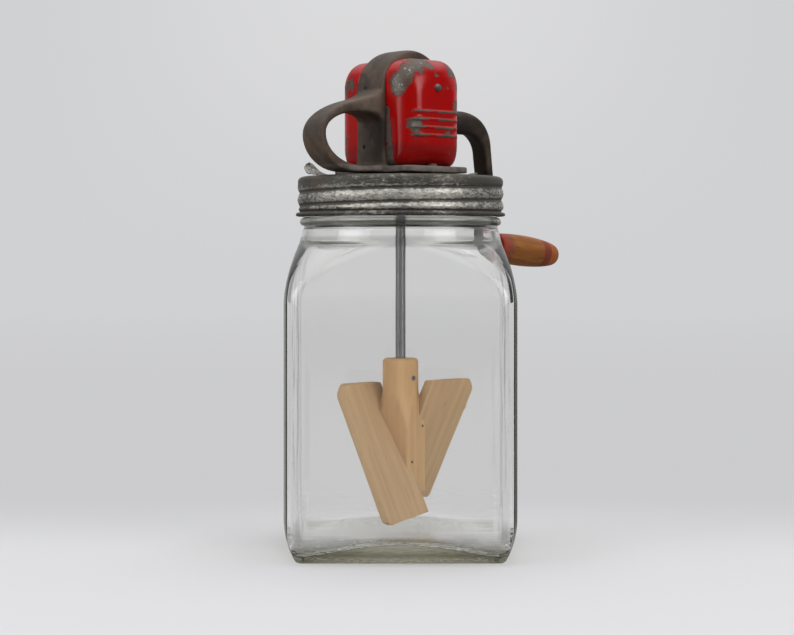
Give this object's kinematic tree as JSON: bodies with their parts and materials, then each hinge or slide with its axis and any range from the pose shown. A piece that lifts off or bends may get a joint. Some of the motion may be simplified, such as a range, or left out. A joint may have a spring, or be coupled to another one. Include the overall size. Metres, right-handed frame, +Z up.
{
  "type": "glass jar butter churn",
  "caption": "Square glass jar churn with a screw lid, hand-cranked bevel gears under red covers and a slanted wooden dasher.",
  "frame": {"origin": "middle of the jar's underside", "axes": "+Z up, jar faces square to X and Y, -Y towards the viewer of the picture, crank axis turned 42 degrees about +Z from +X"},
  "size_m": [0.1867, 0.1928, 0.3217],
  "materials": {
    "jar_glass": "clear pressed glass, faintly green where thick",
    "gasket": "red rubber sealing ring, dull",
    "lid_tin": "worn tinned sheet with bright rubs and rust specks",
    "shutter_tin": "worn tinned sheet",
    "frame_iron": "dark brown japanned casting, rubbed",
    "cover_paint": "glossy red enamel, chipped to bare metal",
    "fittings": "dull steel",
    "gear_iron": "greased casting",
    "crank_iron": "dark brown japanned casting",
    "knob_wood": "turned hardwood, varnished, red bands worn",
    "rod_steel": "grey tinned rod",
    "dasher_wood": "bare close-grained wood"
  },
  "bodies": {
    "jar": {"jar": "jar_glass"},
    "top": {"lid_gasket": "gasket", "screw_lid": "lid_tin", "gear_frame": "frame_iron", "frame_rivets": "fittings", "front_cover": "cover_paint", "rear_cover": "cover_paint", "cover_screws": "fittings", "thrust_washer": "fittings"},
    "crank": {"crank_shaft": "fittings", "shaft_washer": "fittings", "drive_gear": "gear_iron", "drive_gear_pin": "fittings", "crank_arm": "crank_iron", "crank_arm_pin": "fittings", "knob_spindle": "fittings", "knob_washer": "fittings"},
    "knob": {"crank_knob": "knob_wood"},
    "dasher": {"pinion": "gear_iron", "pinion_pin": "fittings", "dasher_rod": "rod_steel", "dasher_hub": "dasher_wood", "dasher_pin": "fittings", "front_paddle": "dasher_wood", "rear_paddle": "dasher_wood", "paddle_nails": "fittings"},
    "shutter": {"vent_shutter": "shutter_tin"}
  },
  "joints": [
    {"name": "lid_lift", "type": "slide", "parent": "jar", "child": "top", "axis": [0, 0, 1], "range_m": [0, 0.23]},
    {"name": "crank_turn", "type": "hinge", "parent": "top", "child": "crank", "pos_m": [0, 0, 0.2777], "axis": [0.7431, 0.6691, 0], "continuous": true},
    {"name": "dasher_turn", "type": "hinge", "parent": "top", "child": "dasher", "pos_m": [0, 0, 0.2], "axis": [0, 0, 1], "continuous": true},
    {"name": "knob_spin", "type": "hinge", "parent": "crank", "child": "knob", "pos_m": [0.06213, 0.07148, 0.19551], "axis": [0.7308, 0.676, -0.0949], "continuous": true},
    {"name": "vent_turn", "type": "hinge", "parent": "top", "child": "shutter", "pos_m": [0, 0, 0.2408], "axis": [0, 0, 1], "range_deg": [-36, 0]}
  ],
  "couplings": [
    {"joint": "dasher_turn", "follows": "crank_turn", "ratio": 4}
  ]
}
